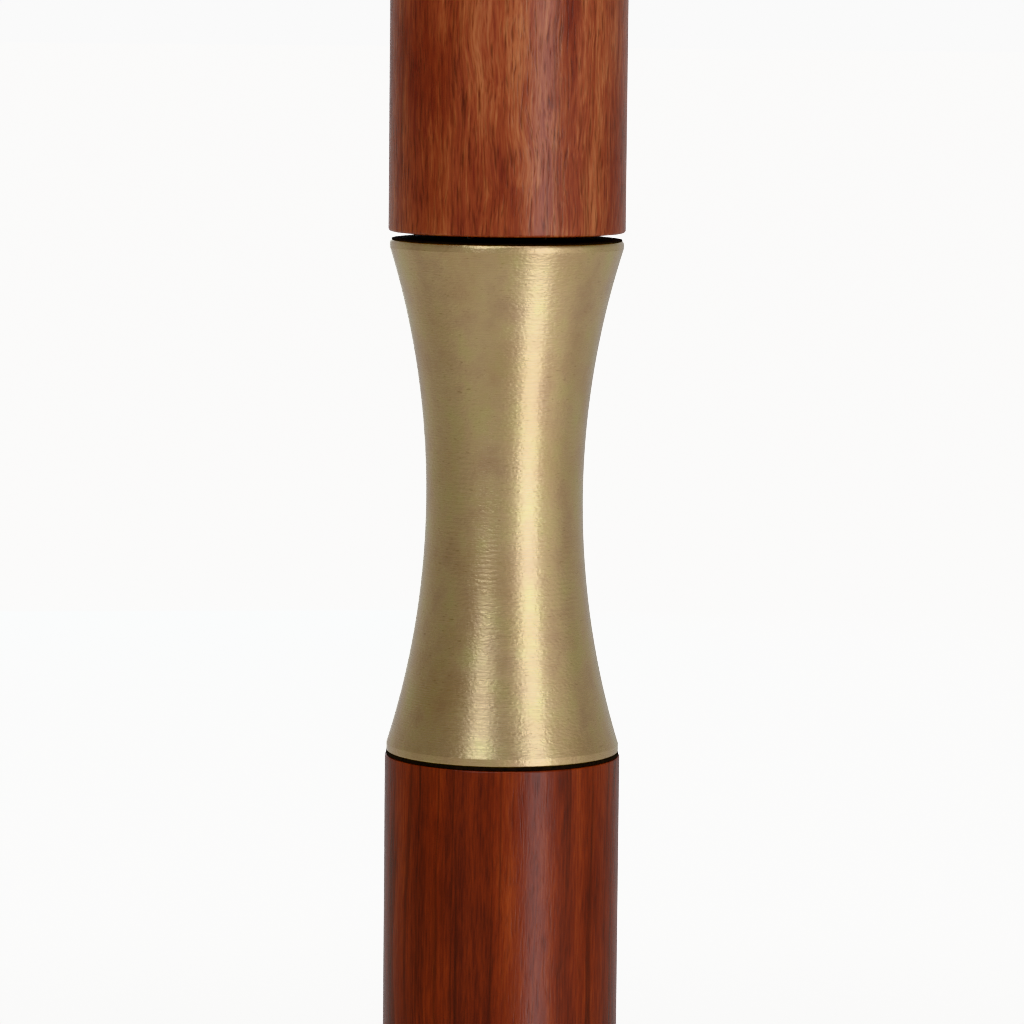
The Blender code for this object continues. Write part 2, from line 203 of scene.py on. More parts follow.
def threaded_rod(name, core, crest, pitch, widths, low, high, start, sides=THREAD_SIDES):
    """A right-handed threaded rod from low to high. widths are the thread's at its crest and the gap's at its
    root. The middle of the crest passes +X at the height start."""
    crest_width, root_width = widths
    flank = (pitch - crest_width - root_width) / 2
    turns_below = math.ceil((start - low) / pitch) + 2
    bottom = start - crest_width / 2 - flank - root_width - turns_below * pitch
    turns = math.ceil((high - bottom) / pitch) + 2
    steps = [(core, root_width), (crest, flank), (crest, crest_width), (core, flank)]
    deselect()
    bpy.ops.mesh.primitive_plane_add(size=MM, location=(core, 0, bottom))
    piece = bpy.context.active_object
    bpy.ops.object.transform_apply(location=True)
    bpy.ops.object.mode_set(mode="EDIT")
    bpy.ops.mesh.select_all(action="SELECT")
    bpy.ops.mesh.merge(type="CENTER")
    radius = core
    for next_radius, rise in steps:
        bpy.ops.mesh.extrude_region_move(TRANSFORM_OT_translate={"value": (next_radius - radius, 0, rise)})
        radius = next_radius
    bpy.ops.object.mode_set(mode="OBJECT")
    screw = piece.modifiers.new("thread", "SCREW")
    screw.axis = "Z"
    screw.angle = 2 * math.pi
    screw.screw_offset = pitch
    screw.iterations = turns
    screw.steps = sides
    screw.render_steps = sides
    screw.use_merge_vertices = True
    screw.merge_threshold = 0.001 * MM
    bpy.ops.object.modifier_apply(modifier=screw.name)
    bpy.ops.object.mode_set(mode="EDIT")
    bpy.ops.mesh.select_all(action="SELECT")
    bpy.ops.mesh.remove_doubles(threshold=0.002 * MM)
    for height, upper in ((low, False), (high, True)):
        bpy.ops.mesh.select_all(action="SELECT")
        bpy.ops.mesh.bisect(
            plane_co=(0, 0, height),
            plane_no=(0, 0, 1),
            use_fill=True,
            clear_inner=not upper,
            clear_outer=upper,
        )
    return finish_piece(piece, name)


def boolean(piece, other, operation):
    """Cuts the other shape out of the piece, joins it on, or keeps what they share. The other shape goes."""
    select_only(piece)
    modifier = piece.modifiers.new(operation.lower(), "BOOLEAN")
    modifier.operation = operation
    modifier.solver = "EXACT"
    modifier.object = other
    bpy.ops.object.modifier_apply(modifier=modifier.name)
    bpy.data.objects.remove(other)
    return piece


def corner(radius, height, size, start, end):
    """Points of an arc round the centre (radius, height), from one angle to another in degrees."""
    points = []
    for step in range(ROUND_STEPS + 1):
        angle = math.radians(start + (end - start) * step / ROUND_STEPS)
        points.append((radius + size * math.cos(angle), height + size * math.sin(angle)))
    return points


def copied(piece, name, matrix):
    """A copy with a mesh of its own, moved to its place."""
    select_only(piece)
    bpy.ops.object.duplicate()
    copy = bpy.context.active_object
    copy.matrix_world = matrix
    return finish_piece(copy, name)


def place(piece, node, body, material):
    """Hands a finished piece over: what it stands for, what it moves with and what it is made of."""
    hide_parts(node)
    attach(piece, body)
    piece.data.materials.clear()
    piece.data.materials.append(material)


# ---------------------------------------------------------------- materials


def hex_colour(code):
    """A linear colour from an sRGB hex value."""
    channels = [int(code[i : i + 2], 16) / 255 for i in (0, 2, 4)]
    linear = [c / 12.92 if c <= 0.04045 else ((c + 0.055) / 1.055) ** 2.4 for c in channels]
    return (*linear, 1.0)


def add(tree, kind, inputs=None, stops=None, **settings):
    """Adds a node. inputs holds a value, or the socket that feeds it, for each named or numbered socket.
    stops are a colour ramp's places and hex colours."""
    node = tree.nodes.new(kind)
    for name, value in settings.items():
        setattr(node, name, value)
    for socket, value in (inputs or {}).items():
        if isinstance(value, bpy.types.NodeSocket):
            tree.links.new(value, node.inputs[socket])
        else:
            node.inputs[socket].default_value = value
    if stops:
        elements = node.color_ramp.elements
        while len(elements) < len(stops):
            elements.new(1.0)
        for element, (position, code) in zip(elements, stops):
            element.position = position
            element.color = hex_colour(code)
    return node


def new_material(name):
    material = bpy.data.materials.new(name)
    material.use_nodes = True
    tree = material.node_tree
    shader = tree.nodes["Principled BSDF"]
    return material, tree, shader


def per_mm(*lengths):
    """Mapping scales for a pattern that changes once in each of these lengths, in mm, along X, Y and Z."""
    return tuple(1000.0 / length for length in lengths)


def noise(tree, vector, lengths, detail=2.0, roughness=0.5):
    """Noise whose features have these lengths in mm along X, Y and Z."""
    stretched = add(tree, "ShaderNodeMapping", {"Vector": vector, "Scale": per_mm(*lengths)}).outputs[0]
    inputs = {"Vector": stretched, "Scale": 1.0, "Detail": detail, "Roughness": roughness}
    return add(tree, "ShaderNodeTexNoise", inputs).outputs


def scaled(tree, value, start, end, low, high):
    """Takes start to end onto low to high, and holds it there beyond."""
    inputs = {"Value": value, "From Min": start, "From Max": end, "To Min": low, "To Max": high}
    return add(tree, "ShaderNodeMapRange", inputs).outputs[0]


def total(tree, *parts):
    """The sum of (value, weight) pairs."""
    so_far = 0.0
    for value, weight in parts:
        inputs = {0: value, 1: weight, 2: so_far}
        so_far = add(tree, "ShaderNodeMath", inputs, operation="MULTIPLY_ADD").outputs[0]
    return so_far


def swayed(tree, vector, lengths, amount):
    """The vector, pushed about by up to half the amount, in mm, by a slow noise."""
    sway = noise(tree, vector, lengths, detail=1.0)["Color"]
    middle = {0: sway, 1: (0.5, 0.5, 0.5)}
    centred = add(tree, "ShaderNodeVectorMath", middle, operation="SUBTRACT").outputs[0]
    bend = add(tree, "ShaderNodeVectorMath", {0: centred, "Scale": amount * MM}, operation="SCALE").outputs[0]
    return add(tree, "ShaderNodeVectorMath", {0: vector, 1: bend}, operation="ADD").outputs[0]


def blend(tree, share, first, second, mode="MIX"):
    """Mixes two colours."""
    inputs = {0: share, 6: first, 7: second}
    return add(tree, "ShaderNodeMix", inputs, data_type="RGBA", blend_type=mode).outputs[2]


def lacquered_hardwood(name, tones, shares, figure, lines, pore_depth, cloud_depth, drift):
    """Open-pored red hardwood, turned, sanded and satin-lacquered, with its grain up the pole. tones are its
    dark, middle and pale hex colours. shares are the weights of its bands, patches, streaks and fibres.
    figure is how far its interlocked grain wanders, in mm. lines is how dark its long thin growth lines are,
    pore_depth its pores and cloud_depth its clouds. drift picks the place in the tree."""
    material, tree, shader = new_material(name)
    on_wood = add(tree, "ShaderNodeTexCoord").outputs["Object"]
    in_tree = add(tree, "ShaderNodeMapping", {"Vector": on_wood, "Location": drift}).outputs[0]
    slow = swayed(tree, in_tree, (40, 40, 70), 5.0)
    grain = swayed(tree, slow, (6, 6, 12), figure)

    # Growth layers: broad soft bands up the side, curved lines on the end
    bands = noise(tree, grain, (4.2, 24, 260), detail=2.0)["Fac"]
    # Patches 6 mm wide and 20 mm long, where the fibres lean in or out
    patches = noise(tree, grain, (6, 6, 22), detail=3.0, roughness=0.6)["Fac"]
    # Streaks about 1 mm wide and 18 mm long, and fibres drawn at 0.35 mm so that they show
    streaks = noise(tree, grain, (1.0, 1.0, 18), detail=3.0, roughness=0.65)["Fac"]
    fibres = noise(tree, grain, (0.34, 0.34, 5), detail=2.0, roughness=0.7)["Fac"]
    mixed = total(tree, *zip((bands, patches, streaks, fibres), shares))
    average = sum(shares) / 2
    tone = scaled(tree, mixed, average - TONE_SPREAD, average + TONE_SPREAD, 0.0, 1.0)
    dark, middle, pale = tones
    colour = add(
        tree, "ShaderNodeValToRGB", {"Fac": tone}, stops=[(0.05, dark), (0.5, middle), (0.95, pale)]
    ).outputs[0]

    # Clouds 9 mm wide and 30 mm long, where the heartwood is darker and redder
    cloud_noise = noise(tree, grain, (9, 9, 30), detail=3.0, roughness=0.6)["Fac"]
    clouds = scaled(tree, cloud_noise, 0.42, 0.68, 0.0, cloud_depth)
    clouded = blend(tree, clouds, colour, hex_colour("c58a84"), "MULTIPLY")

    # Long thin dark lines where one growth layer ends
    line_noise = noise(tree, grain, (0.75, 5.0, 120), detail=1.0)["Fac"]
    ends = scaled(tree, line_noise, 0.6, 0.68, 0.0, lines)
    lined = blend(tree, ends, clouded, hex_colour("3a1009"))

    # Pores: dark dashes 0.2 mm wide and 2 to 8 mm long, nearly filled by the lacquer
    pore_noise = noise(tree, grain, (0.32, 0.32, 4.5), detail=2.0)["Fac"]
    pores = scaled(tree, pore_noise, 0.52, 0.72, 0.0, pore_depth)
    pored = blend(tree, pores, lined, hex_colour("42160c"))

    relief = total(tree, (fibres, 0.6), (pores, -1.0), (streaks, 0.5))
    bump = add(
        tree, "ShaderNodeBump", {"Height": relief, "Strength": 1.0, "Distance": 0.03 * MM}
    ).outputs[0]
    tree.links.new(pored, shader.inputs["Base Color"])
    tree.links.new(bump, shader.inputs["Normal"])
    tree.links.new(bump, shader.inputs["Coat Normal"])
    shader.inputs["Roughness"].default_value = 0.6
    shader.inputs["Specular IOR Level"].default_value = 0.0
    shader.inputs["Coat Weight"].default_value = 1.0
    shader.inputs["Coat IOR"].default_value = 1.62
    shader.inputs["Coat Roughness"].default_value = 0.26
    return material


def antique_brass():
    """Turned brass, brushed round the axis and aged: mottled from green-gold to brown, with brushing lines, a
    crinkled skin left by the brush, patches of chatter from the lathe and a few short dark scratches."""
    material, tree, shader = new_material("Satin brass, brushed round")
    on_brass = add(tree, "ShaderNodeTexCoord").outputs["Object"]

    # Age: blotches of 5 mm, broken up finely, and broad dull patches
    blotches = noise(tree, on_brass, (5, 5, 6), detail=5.0, roughness=0.6)["Fac"]
    colour = add(
        tree,
        "ShaderNodeValToRGB",
        {"Fac": blotches},
        stops=[(0.32, "dabd99"), (0.5, "e4cb9f"), (0.68, "e2d29b")],
    ).outputs[0]
    dull_noise = noise(tree, on_brass, (12, 12, 15), detail=4.0, roughness=0.6)["Fac"]
    dull = scaled(tree, dull_noise, 0.45, 0.7, 0.0, 0.5)
    aged = blend(tree, dull, colour, hex_colour("ceac84"))

    # Brushing lines, drawn at 0.25 mm so that they show, and a crinkle 0.5 mm long and 0.4 mm high
    brushing = noise(tree, on_brass, (9, 9, 0.25), detail=3.0, roughness=0.7)["Fac"]
    crinkle = noise(tree, on_brass, (0.55, 0.55, 0.38), detail=2.0, roughness=0.6)["Fac"]

    # Chatter: close rings in patches round the waist, gone 26 mm above and below its middle
    wandering = swayed(tree, on_brass, (2.5, 2.5, 3), 0.5)
    height = add(tree, "ShaderNodeSeparateXYZ", {0: wandering}).outputs["Z"]
    per_ring = {0: height, 1: 2 * math.pi / CHATTER_PITCH}
    turns = add(tree, "ShaderNodeMath", per_ring, operation="MULTIPLY").outputs[0]
    rings = add(tree, "ShaderNodeMath", {0: turns}, operation="SINE").outputs[0]
    patches = scaled(tree, noise(tree, on_brass, (4, 4, 11), detail=1.0)["Fac"], 0.5, 0.62, 0.0, 1.0)
    waist = (COUPLING_FOOT + COUPLING_TOP) / 2
    above = scaled(tree, height, waist - 26 * MM, waist - 16 * MM, 0.0, 1.0)
    below = scaled(tree, height, waist + 16 * MM, waist + 26 * MM, 1.0, 0.0)
    here = add(tree, "ShaderNodeMath", {0: above, 1: below}, operation="MULTIPLY").outputs[0]
    masked = add(tree, "ShaderNodeMath", {0: patches, 1: here}, operation="MULTIPLY").outputs[0]
    chatter = add(tree, "ShaderNodeMath", {0: rings, 1: masked}, operation="MULTIPLY").outputs[0]

    # Scratches, dark dashes of 1 mm along the brushing
    scratch_noise = noise(tree, on_brass, (1.1, 1.1, 0.22), detail=1.0)["Fac"]
    scratches = scaled(tree, scratch_noise, 0.68, 0.78, 0.0, 0.45)
    scratched = blend(tree, scratches, aged, hex_colour("8a6c48"))

    relief = total(tree, (brushing, 0.35), (crinkle, 3.6), (chatter, 0.4), (scratches, -0.5))
    bump = add(tree, "ShaderNodeBump", {"Height": relief, "Strength": 0.8, "Distance": 0.02 * MM}).outputs[0]
    tree.links.new(scratched, shader.inputs["Base Color"])
    tree.links.new(scaled(tree, brushing, 0.3, 0.7, 0.22, 0.34), shader.inputs["Roughness"])
    tree.links.new(bump, shader.inputs["Normal"])
    tree.links.new(bump, shader.inputs["Coat Normal"])
    shader.inputs["Metallic"].default_value = 1.0
    shader.inputs["Coat Weight"].default_value = 1.0
    shader.inputs["Coat Roughness"].default_value = 0.3
    return material


def turned_brass(name, colour, low, high):
    """Plain brass straight from the lathe, with fine tool rings that catch the light."""
    material, tree, shader = new_material(name)
    on_brass = add(tree, "ShaderNodeTexCoord").outputs["Object"]
    rings = noise(tree, on_brass, (2.5, 2.5, 0.25))["Fac"]
    spots = {"Vector": on_brass, "Scale": 220.0, "Detail": 3.0}
    tarnish = add(tree, "ShaderNodeTexNoise", spots).outputs["Fac"]
    tint = add(
        tree, "ShaderNodeValToRGB", {"Fac": tarnish}, stops=[(0.3, "a5834e"), (0.65, colour)]
    ).outputs[0]
    bump = add(tree, "ShaderNodeBump", {"Height": rings, "Strength": 0.4, "Distance": 0.01 * MM}).outputs[0]
    tree.links.new(tint, shader.inputs["Base Color"])
    tree.links.new(scaled(tree, rings, 0.3, 0.7, low, high), shader.inputs["Roughness"])
    tree.links.new(bump, shader.inputs["Normal"])
    shader.inputs["Metallic"].default_value = 1.0
    return material


def zinc_plate():
    """Zinc-plated steel, a dull grey with a faint crystal pattern."""
    material, tree, shader = new_material("Zinc-plated steel")
    on_steel = add(tree, "ShaderNodeTexCoord").outputs["Object"]
    crystals = {"Vector": on_steel, "Scale": 900.0, "Detail": 2.0}
    spangle = add(tree, "ShaderNodeTexNoise", crystals).outputs["Fac"]
    tint = add(
        tree, "ShaderNodeValToRGB", {"Fac": spangle}, stops=[(0.3, "a9a9a5"), (0.7, "c9cac8")]
    ).outputs[0]
    bump = add(tree, "ShaderNodeBump", {"Height": spangle, "Strength": 0.2, "Distance": 0.01 * MM}).outputs[0]
    tree.links.new(tint, shader.inputs["Base Color"])
    tree.links.new(scaled(tree, spangle, 0.3, 0.7, 0.28, 0.42), shader.inputs["Roughness"])
    tree.links.new(bump, shader.inputs["Normal"])
    shader.inputs["Metallic"].default_value = 1.0
    return material


def black_sheet(name, code, grain_mm, roughness):
    """A black gasket or seal material, matt, with a fine uneven surface of the given grain."""
    material, tree, shader = new_material(name)
    place_on_sheet = add(tree, "ShaderNodeTexCoord").outputs["Object"]
    grain = add(
        tree, "ShaderNodeTexNoise", {"Vector": place_on_sheet, "Scale": 1000.0 / grain_mm, "Detail": 3.0}
    ).outputs["Fac"]
    tint = add(
        tree, "ShaderNodeValToRGB", {"Fac": grain}, stops=[(0.35, "0f0d0c"), (0.7, code)]
    ).outputs[0]
    bump = add(tree, "ShaderNodeBump", {"Height": grain, "Strength": 0.5, "Distance": 0.03 * MM}).outputs[0]
    tree.links.new(tint, shader.inputs["Base Color"])
    tree.links.new(bump, shader.inputs["Normal"])
    shader.inputs["Roughness"].default_value = roughness
    shader.inputs["Specular IOR Level"].default_value = 0.3
    return material


# ---------------------------------------------------------------- pieces


def screw_places():
    for number in range(SCREW_COUNT):
        angle = math.pi / 2 + 2 * math.pi * number / SCREW_COUNT
        yield SCREW_CIRCLE * math.cos(angle), SCREW_CIRCLE * math.sin(angle)


def wooden_section(name, foot, top, stud_at_foot, top_round=POLE_EDGE_ROUND):
    """A section of the pole, its edges broken, with a stepped bore for the socket in each end. A stud plate's
    end has a shallow recess and a six-sided pocket instead."""
    size = POLE_EDGE_ROUND
    outline = [
        (COLLAR_BORE_RADIUS, top - COLLAR_BORE_DEPTH),
        (COLLAR_BORE_RADIUS, top - RECESS_DEPTH),
        (RECESS_RADIUS, top - RECESS_DEPTH),
        *corner(RECESS_RADIUS + SMALL_ROUND / 2, top - SMALL_ROUND / 2, SMALL_ROUND / 2, 180, 90),
        *corner(POLE_RADIUS - top_round, top - top_round, top_round, 90, 0),
        *corner(POLE_RADIUS - size, foot + size, size, 0, -90),
        *corner(RECESS_RADIUS + SMALL_ROUND / 2, foot + SMALL_ROUND / 2, SMALL_ROUND / 2, -90, -180),
        (RECESS_RADIUS, foot + RECESS_DEPTH),
    ]
    if not stud_at_foot:
        outline += [(COLLAR_BORE_RADIUS, foot + RECESS_DEPTH), (COLLAR_BORE_RADIUS, foot + COLLAR_BORE_DEPTH)]
    section = turned(name, outline)
    if stud_at_foot:
        pocket = [(HEXAGON_RADIUS, foot), (HEXAGON_RADIUS, foot + HEXAGON_DEPTH)]
        boolean(section, turned("pocket", pocket, sides=6), "DIFFERENCE")
    return section


def countersinks(name, height, facing):
    """The three screw holes under a face at that height. facing is 1 where the face looks up, or -1."""
    holes = []
    for x, y in screw_places():
        outline = [
            (SCREW_SHANK_RADIUS + 0.1 * MM, -4 * MM),
            (SCREW_SHANK_RADIUS + 0.1 * MM, -SCREW_HEAD_HEIGHT),
            (SCREW_HEAD_RADIUS + 0.1 * MM, -0.25 * MM),
            (SCREW_HEAD_RADIUS + 0.1 * MM, 1 * MM),
        ]
        hole = turned(name, outline, sides=32)
        hole.matrix_world = Matrix.Translation((x, y * facing, height)) @ Matrix.Diagonal((1, 1, facing, 1))
        holes.append(finish_piece(hole, name))
    return holes


def socket_at_origin():
    """The flanged brass socket with its face at z = 0 and its closed end down."""
    round_ = SMALL_ROUND
    bore = MALE_CORE + THREAD_PLAY
    outline = [
        (bore, -SOCKET_BORE_DEPTH),
        (bore, -MOUTH_DEPTH - 0.6 * MM),
        (bore + 0.6 * MM, -MOUTH_DEPTH),
        (MOUTH_RADIUS, -MOUTH_DEPTH),
        (MOUTH_RADIUS, -0.4 * MM),
        (MOUTH_RADIUS + 0.4 * MM, 0),
        *corner(PLATE_RADIUS - round_, -round_, round_, 90, 0),
        (PLATE_RADIUS, -PLATE_THICKNESS),
        (COLLAR_RADIUS, -PLATE_THICKNESS),
        (COLLAR_RADIUS, -SOCKET_DEPTH + 0.5 * MM),
        (COLLAR_RADIUS - 0.5 * MM, -SOCKET_DEPTH),
    ]
    socket = turned("socket", outline, sides=SMALL_SIDES)
    tap = threaded_rod(
        "tap",
        bore - 0.3 * MM,
        MALE_CREST + THREAD_PLAY,
        PITCH,
        (CREST_WIDTH + THREAD_PLAY, ROOT_WIDTH - 2 * THREAD_PLAY),
        -SOCKET_BORE_DEPTH + 1.0 * MM,
        -MOUTH_DEPTH + 0.5 * MM,
        thread_start() + LOWER_FACE_TO_HOME,
    )
    boolean(socket, tap, "DIFFERENCE")
    for hole in countersinks("countersink", 0, 1):
        boolean(socket, hole, "DIFFERENCE")
    return finish_piece(socket, "socket")


def thread_start():
    """Height where the crest of a stud's thread passes its own +X, from the face that the stud stands on."""
    return -STUD_GROOVE - PITCH / 4 - MALE_TURNS * PITCH


LOWER_FACE_TO_HOME = COUPLING_FOOT - LOWER_FACE
UPPER_TURN = 2 * math.pi * (UPPER_FACE - COUPLING_TOP - LOWER_FACE_TO_HOME) / PITCH


def stud(name, top_outline):
    """A stud whose face is at z = 0, with its thread down. top_outline is the rest of its outline, above."""
    bottom = thread_start() - PITCH / 4
    tip = bottom - STUD_TIP
    rod = threaded_rod(
        name, MALE_CORE, MALE_CREST, PITCH, (CREST_WIDTH, ROOT_WIDTH), tip, -STUD_GROOVE, thread_start()
    )
    chamfer = MALE_CREST - MALE_CORE + 0.4 * MM
    envelope = [
        (MALE_CREST - chamfer, tip - 1 * MM),
        (MALE_CREST - chamfer, tip - 0.01 * MM),
        (MALE_CREST + 0.3 * MM, tip + chamfer),
        (MALE_CREST + 0.3 * MM, 0),
    ]
    boolean(rod, turned("envelope", envelope, sides=SMALL_SIDES), "INTERSECT")
    neck = turned("neck", [(MALE_CORE - 0.1 * MM, -STUD_GROOVE - 1 * MM), *top_outline], sides=SMALL_SIDES)
    boolean(rod, neck, "UNION")
    return rod


def lower_stud():
    """Pressed into the foot of the coupling."""
    chamfer = 0.8 * MM
    top = [
        (MALE_CORE - 0.1 * MM, 0),
        (MALE_CREST, 0),
        (MALE_CREST, SPIGOT_LENGTH - chamfer),
        (MALE_CREST - chamfer, SPIGOT_LENGTH),
    ]
    piece = stud("lower_stud_zinc", top)
    piece.matrix_world = Matrix.Translation((0, 0, COUPLING_FOOT))
    return finish_piece(piece, "lower_stud_zinc")


def upper_stud():
    """A bolt through the stud plate, with its six-sided head in the wood."""
    top = [(MALE_CORE - 0.1 * MM, 0), (MALE_CREST, 0), (MALE_CREST, HEAD_BOTTOM + 1 * MM)]
    piece = stud("upper_stud_zinc", top)
    head = turned("head", [(HEAD_CORNER_RADIUS, HEAD_BOTTOM), (HEAD_CORNER_RADIUS, HEAD_TOP)], sides=6)
    bevelled = [
        (HEAD_CORNER_RADIUS + 1 * MM, HEAD_BOTTOM - 1 * MM),
        (HEAD_CORNER_RADIUS + 1 * MM, HEAD_TOP - 1.1 * MM),
        (HEAD_CORNER_RADIUS - 0.9 * MM, HEAD_TOP + 0.01 * MM),
    ]
    boolean(head, turned("bevelled", bevelled, sides=SMALL_SIDES), "INTERSECT")
    boolean(piece, head, "UNION")
    piece.matrix_world = Matrix.Translation((0, 0, UPPER_FACE)) @ Matrix.Rotation(UPPER_TURN, 4, "Z")
    return finish_piece(piece, "upper_stud_zinc")


def stud_plate():
    round_ = SMALL_ROUND
    outline = [
        (PLATE_HOLE_RADIUS, PLATE_THICKNESS),
        (PLATE_HOLE_RADIUS, round_),
        (PLATE_HOLE_RADIUS + round_, 0),
        *corner(PLATE_RADIUS - round_, round_, round_, -90, 0),
        (PLATE_RADIUS, PLATE_THICKNESS),
        (PLATE_HOLE_RADIUS, PLATE_THICKNESS),
    ]
    plate = turned("plate", outline, sides=SMALL_SIDES, ring=True)
    for hole in countersinks("countersink", 0, -1):
        boolean(plate, hole, "DIFFERENCE")
    plate.matrix_world = Matrix.Translation((0, 0, UPPER_FACE)) @ Matrix.Rotation(UPPER_TURN, 4, "Z")
    return finish_piece(plate, "brass_stud_plate")


def flare_outline():
    """The coupling's side, foot to top: a straight band at each end and one circular arc between."""
    half = COUPLING_LENGTH / 2 - COUPLING_LAND
    sagitta = COUPLING_END_RADIUS - COUPLING_WAIST_RADIUS
    arc = (half**2 + sagitta**2) / (2 * sagitta)
    points = []
    for step in range(FLARE_STEPS + 1):
        height = half * (2 * step / FLARE_STEPS - 1)
        radius = COUPLING_WAIST_RADIUS + arc - math.sqrt(arc**2 - height**2)
        points.append((radius, COUPLING_FOOT + COUPLING_LENGTH / 2 + height))
    return points


def waisted_coupling():
    foot_round, top_round = COUPLING_FOOT_ROUND, COUPLING_TOP_ROUND
    bore = MALE_CORE + THREAD_PLAY
    side = COUPLING_END_RADIUS
    outline = [
        (SPIGOT_BORE_RADIUS, COUPLING_FOOT + SPIGOT_BORE_DEPTH),
        (SPIGOT_BORE_RADIUS, COUPLING_FOOT + 0.4 * MM),
        (SPIGOT_BORE_RADIUS + 0.4 * MM, COUPLING_FOOT),
        *corner(side - foot_round, COUPLING_FOOT + foot_round, foot_round, -90, 0),
        (side, COUPLING_FOOT + foot_round + COUPLING_HOLD),
        *flare_outline(),
        (side, COUPLING_TOP - top_round - COUPLING_HOLD),
        *corner(side - top_round, COUPLING_TOP - top_round, top_round, 0, 90),
        (MOUTH_RADIUS + 0.4 * MM, COUPLING_TOP),
        (MOUTH_RADIUS, COUPLING_TOP - 0.4 * MM),
        (MOUTH_RADIUS, COUPLING_TOP - MOUTH_DEPTH),
        (bore + 0.6 * MM, COUPLING_TOP - MOUTH_DEPTH),
        (bore, COUPLING_TOP - MOUTH_DEPTH - 0.6 * MM),
        (bore, COUPLING_TOP - COUPLING_BORE_DEPTH),
    ]
    body = turned("coupling_brass", outline)
    tap = threaded_rod(
        "tap",
        bore - 0.3 * MM,
        MALE_CREST + THREAD_PLAY,
        PITCH,
        (CREST_WIDTH + THREAD_PLAY, ROOT_WIDTH - 2 * THREAD_PLAY),
        COUPLING_TOP - COUPLING_BORE_DEPTH + 1.0 * MM,
        COUPLING_TOP - MOUTH_DEPTH + 0.5 * MM,
        COUPLING_TOP + thread_start() + LOWER_FACE_TO_HOME,
    )
    boolean(body, tap, "DIFFERENCE")
    return finish_piece(body, "coupling_brass", CREASE_ANGLE)


def gasket(name, radius, low, high):
    """A punched ring, its outer edge slightly rounded by the punch."""
    size = min(0.12 * MM, (high - low) / 2.2)
    outline = [
        (GASKET_HOLE_RADIUS, low),
        *corner(radius - size, low + size, size, -90, 0),
        *corner(radius - size, high - size, size, 0, 90),
        (GASKET_HOLE_RADIUS, high),
        (GASKET_HOLE_RADIUS, low),
    ]
    return turned(name, outline, ring=True)


def o_ring(name, node):
    """A moulded ring in its groove, pressed a little flat where it bears on the stud."""
    low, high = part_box(node)
    middle = (low[2] + high[2]) / 2
    steps = 20
    outline = []
    for step in range(steps + 1):
        angle = 2 * math.pi * step / steps
        radius = max(O_RING_RADIUS + O_RING_CORD_RADIUS * math.cos(angle), MALE_CORE + 0.25 * MM)
        outline.append((radius, middle + O_RING_CORD_RADIUS * math.sin(angle)))
    return turned(name, outline, sides=SMALL_SIDES, ring=True)


def wood_screw():
    """A slotted countersunk wood screw with its face at z = 0, its point down."""
    tip = 3 * MM
    core = SCREW_SHANK_RADIUS - 0.35 * MM
    rod = threaded_rod(
        "screw",
        core,
        SCREW_SHANK_RADIUS,
        SCREW_PITCH,
        (0.12 * MM, 0.5 * MM),
        -SCREW_LENGTH,
        -SCREW_HEAD_HEIGHT - 1.2 * MM,
        -SCREW_LENGTH,
        sides=16,
    )
    envelope = [
        (0.15 * MM, -SCREW_LENGTH),
        (SCREW_SHANK_RADIUS + 0.1 * MM, -SCREW_LENGTH + tip),
        (SCREW_SHANK_RADIUS + 0.1 * MM, 0),
    ]
    boolean(rod, turned("envelope", envelope, sides=24), "INTERSECT")
    head = [
        (SCREW_SHANK_RADIUS - 0.1 * MM, -SCREW_HEAD_HEIGHT - 1.8 * MM),
        (SCREW_SHANK_RADIUS - 0.1 * MM, -SCREW_HEAD_HEIGHT),
        (SCREW_HEAD_RADIUS, -0.3 * MM),
        (SCREW_HEAD_RADIUS - 0.1 * MM, -0.12 * MM),
        (SCREW_HEAD_RADIUS * 0.6, -0.05 * MM),
    ]
    boolean(rod, turned("screw_head", head, sides=32), "UNION")
    deselect()
    bpy.ops.mesh.primitive_cube_add(size=1, location=(0, 0, 0))
    slot = bpy.context.active_object
    slot.scale = (3 * SCREW_HEAD_RADIUS, SLOT_WIDTH, 2 * SLOT_DEPTH)
    boolean(rod, finish_piece(slot, "slot"), "DIFFERENCE")
    return finish_piece(rod, "screw")


def place_screws(screw, label, body, matrix, material):
    for number, (x, y) in enumerate(screw_places()):
        turn = Matrix.Rotation(math.pi / 4 * (3 * number + 1), 4, "Z")
        name = f"{label}_slotted_screw_{number + 1}"
        piece = copied(screw, name, matrix @ Matrix.Translation((x, y, 0)) @ turn)
        place(piece, f"{label}_screw_{number + 1}", body, material)


# ---------------------------------------------------------------- the pole


